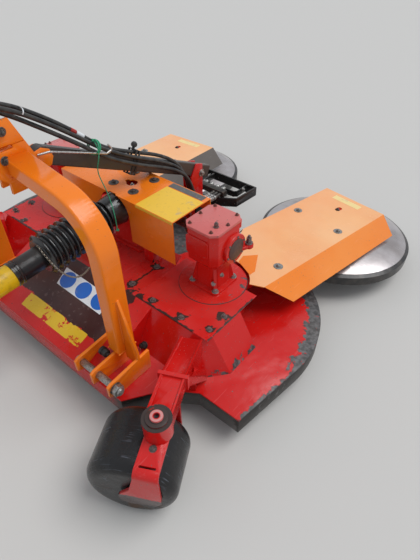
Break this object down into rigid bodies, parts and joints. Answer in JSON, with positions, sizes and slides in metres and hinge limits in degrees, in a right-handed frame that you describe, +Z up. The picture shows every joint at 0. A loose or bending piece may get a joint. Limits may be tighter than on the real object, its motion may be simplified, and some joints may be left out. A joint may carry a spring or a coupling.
{
  "type": "orchard mulcher",
  "caption": "Rear-mounted orchard and vineyard mulcher with main rotors under one deck, castor rollers in front and swinging arms with feeler hoods behind.",
  "frame": {"origin": "middle of the top-link pin's bore in the mast", "axes": "+X to the machine's left side along the pin, +Y to the rear, +Z up"},
  "size_m": [2.0023, 2.26, 1.114],
  "materials": {
    "red_paint": "satin",
    "orange_paint": "satin",
    "grey_hood": "gloss",
    "dark_steel": "matt",
    "steel": "satin",
    "black_plastic": "matt",
    "yellow_plastic": "satin",
    "roller_black": "gloss",
    "hose_rubber": "satin",
    "twine_green": "satin"
  },
  "bodies": {
    "chassis": {"deck": "red_paint", "drive_box": "red_paint", "top_plates": "red_paint", "apron": "red_paint", "gearbox_left": "red_paint", "gearbox_right": "red_paint", "gearbox_lids": "red_paint", "gearbox_caps": "steel", "centre_gearbox": "red_paint", "cross_shafts": "steel", "beam_cover": "orange_paint", "cover_feet": "red_paint", "hitch_arch": "orange_paint", "mast_plates": "orange_paint", "link_plates": "orange_paint", "link_pin_left": "steel", "link_pin_right": "steel", "brace": "dark_steel", "brace_lugs": "red_paint", "arm_pivots": "red_paint", "rear_upright": "red_paint", "rear_frame": "dark_steel", "cylinder_posts": "dark_steel", "hose_block": "dark_steel", "coupler_holder": "orange_paint", "quick_couplers": "steel", "hose_upper": "hose_rubber", "hose_middle": "hose_rubber", "hose_lower": "hose_rubber", "twine": "twine_green", "hose_rod": "steel", "input_guard": "black_plastic", "bellows_guard": "black_plastic", "guard_tube": "black_plastic", "guard_sleeve": "yellow_plastic", "shaft_tube": "steel", "tractor_yoke": "steel", "castor_arms": "red_paint"},
    "castor_left": {"castor_fork_left": "red_paint"},
    "roller_left": {"roller_left": "roller_black"},
    "main_rotor_left": {"main_rotor_left": "dark_steel"},
    "arm_left": {"arm_cover_left": "orange_paint", "arm_beam_left": "red_paint"},
    "hood_left": {"feeler_hood_left": "grey_hood"},
    "swing_rotor_left": {"swing_rotor_left": "dark_steel"},
    "barrel_left": {"cylinder_barrel_left": "dark_steel"},
    "rod_left": {"cylinder_rod_left": "steel"},
    "castor_right": {"castor_fork_right": "red_paint"},
    "roller_right": {"roller_right": "roller_black"},
    "main_rotor_right": {"main_rotor_right": "dark_steel"},
    "arm_right": {"arm_cover_right": "orange_paint", "arm_beam_right": "red_paint"},
    "hood_right": {"feeler_hood_right": "grey_hood"},
    "swing_rotor_right": {"swing_rotor_right": "dark_steel"},
    "barrel_right": {"cylinder_barrel_right": "dark_steel"},
    "rod_right": {"cylinder_rod_right": "steel"}
  },
  "joints": [
    {"name": "castor_swivel_left", "type": "hinge", "parent": "chassis", "child": "castor_left", "pos_m": [0.778, -0.07, -0.58], "axis": [0, 0, 1], "continuous": true},
    {"name": "roller_spin_left", "type": "hinge", "parent": "castor_left", "child": "roller_left", "pos_m": [0.72371, -0.11699, -0.782], "axis": [0.4695, -0.8829, 0], "continuous": true},
    {"name": "main_rotor_spin_left", "type": "hinge", "parent": "chassis", "child": "main_rotor_left", "pos_m": [0.475, 0.56, -0.78], "axis": [0, 0, 1], "continuous": true},
    {"name": "arm_swing_left", "type": "hinge", "parent": "chassis", "child": "arm_left", "pos_m": [0.475, 0.56, -0.68], "axis": [0, 0, -1], "range_deg": [-9, 46]},
    {"name": "hood_spin_left", "type": "hinge", "parent": "arm_left", "child": "hood_left", "pos_m": [0.6122, 1.42626, -0.74901], "axis": [0.0076, 0.0482, 0.9988], "continuous": true},
    {"name": "swing_rotor_spin_left", "type": "hinge", "parent": "arm_left", "child": "swing_rotor_left", "pos_m": [0.6122, 1.42626, -0.74901], "axis": [0.0076, 0.0482, 0.9988], "continuous": true},
    {"name": "barrel_hinge_left", "type": "hinge", "parent": "chassis", "child": "barrel_left", "pos_m": [0.082, 0.98, -0.725], "axis": [0, 0, 1], "range_deg": [-1.47, 6.28]},
    {"name": "rod_slide_left", "type": "slide", "parent": "barrel_left", "child": "rod_left", "axis": [0.8475, -0.5308, 0], "range_m": [-0.0296, 0.148]},
    {"name": "castor_swivel_right", "type": "hinge", "parent": "chassis", "child": "castor_right", "pos_m": [-0.778, -0.07, -0.58], "axis": [0, 0, 1], "continuous": true},
    {"name": "roller_spin_right", "type": "hinge", "parent": "castor_right", "child": "roller_right", "pos_m": [-0.83229, -0.11699, -0.782], "axis": [0.4695, -0.8829, 0], "continuous": true},
    {"name": "main_rotor_spin_right", "type": "hinge", "parent": "chassis", "child": "main_rotor_right", "pos_m": [-0.475, 0.56, -0.78], "axis": [0, 0, 1], "continuous": true},
    {"name": "arm_swing_right", "type": "hinge", "parent": "chassis", "child": "arm_right", "pos_m": [-0.475, 0.56, -0.68], "axis": [0, 0, 1], "range_deg": [-3.3, 51.7]},
    {"name": "hood_spin_right", "type": "hinge", "parent": "arm_right", "child": "hood_right", "pos_m": [-0.52549, 1.43561, -0.74901], "axis": [-0.0028, 0.0488, 0.9988], "continuous": true},
    {"name": "swing_rotor_spin_right", "type": "hinge", "parent": "arm_right", "child": "swing_rotor_right", "pos_m": [-0.52549, 1.43561, -0.74901], "axis": [-0.0028, 0.0488, 0.9988], "continuous": true},
    {"name": "barrel_hinge_right", "type": "hinge", "parent": "chassis", "child": "barrel_right", "pos_m": [-0.082, 0.98, -0.725], "axis": [0, 0, -1], "range_deg": [-0.73, 7.02]},
    {"name": "rod_slide_right", "type": "slide", "parent": "barrel_right", "child": "rod_right", "axis": [-0.8295, -0.5586, 0], "range_m": [-0.0114, 0.1662]}
  ],
  "couplings": [
    {"joint": "barrel_hinge_left", "follows": "arm_swing_left", "ratio": 0.13},
    {"joint": "rod_slide_left", "follows": "arm_swing_left", "m_per_rad": 0.18335},
    {"joint": "swing_rotor_spin_left", "follows": "main_rotor_spin_left", "ratio": 1.4},
    {"joint": "barrel_hinge_right", "follows": "arm_swing_right", "ratio": 0.13},
    {"joint": "rod_slide_right", "follows": "arm_swing_right", "m_per_rad": 0.18335},
    {"joint": "main_rotor_spin_right", "follows": "main_rotor_spin_left", "ratio": -1},
    {"joint": "swing_rotor_spin_right", "follows": "main_rotor_spin_left", "ratio": -1.4}
  ]
}
